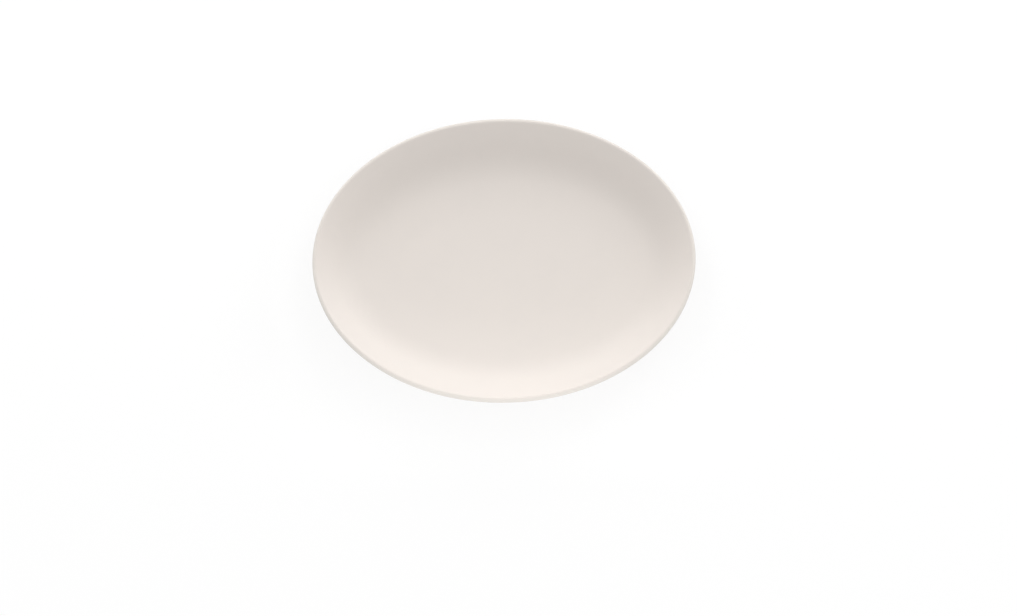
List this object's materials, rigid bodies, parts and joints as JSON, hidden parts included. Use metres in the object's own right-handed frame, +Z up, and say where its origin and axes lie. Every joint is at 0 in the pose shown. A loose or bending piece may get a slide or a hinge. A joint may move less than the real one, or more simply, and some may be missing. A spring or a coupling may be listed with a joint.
{
  "type": "serving platter",
  "caption": "Plain oval coupe serving platter in off-white glazed porcelain, with a dished well, a flared rim with a round lip, and a bare-edged foot ring.",
  "frame": {"origin": "middle of the oval foot ring, on the plane that its standing edge rests on", "axes": "+X along the length, +Y across the width, +Z up out of the well"},
  "size_m": [0.34, 0.275, 0.033],
  "materials": {
    "biscuit": "matte",
    "face_glaze": "polished",
    "base_glaze": "polished"
  },
  "bodies": {
    "root": {"porcelain_body": "biscuit", "face_glaze": "face_glaze", "base_glaze": "base_glaze"}
  },
  "joints": []
}
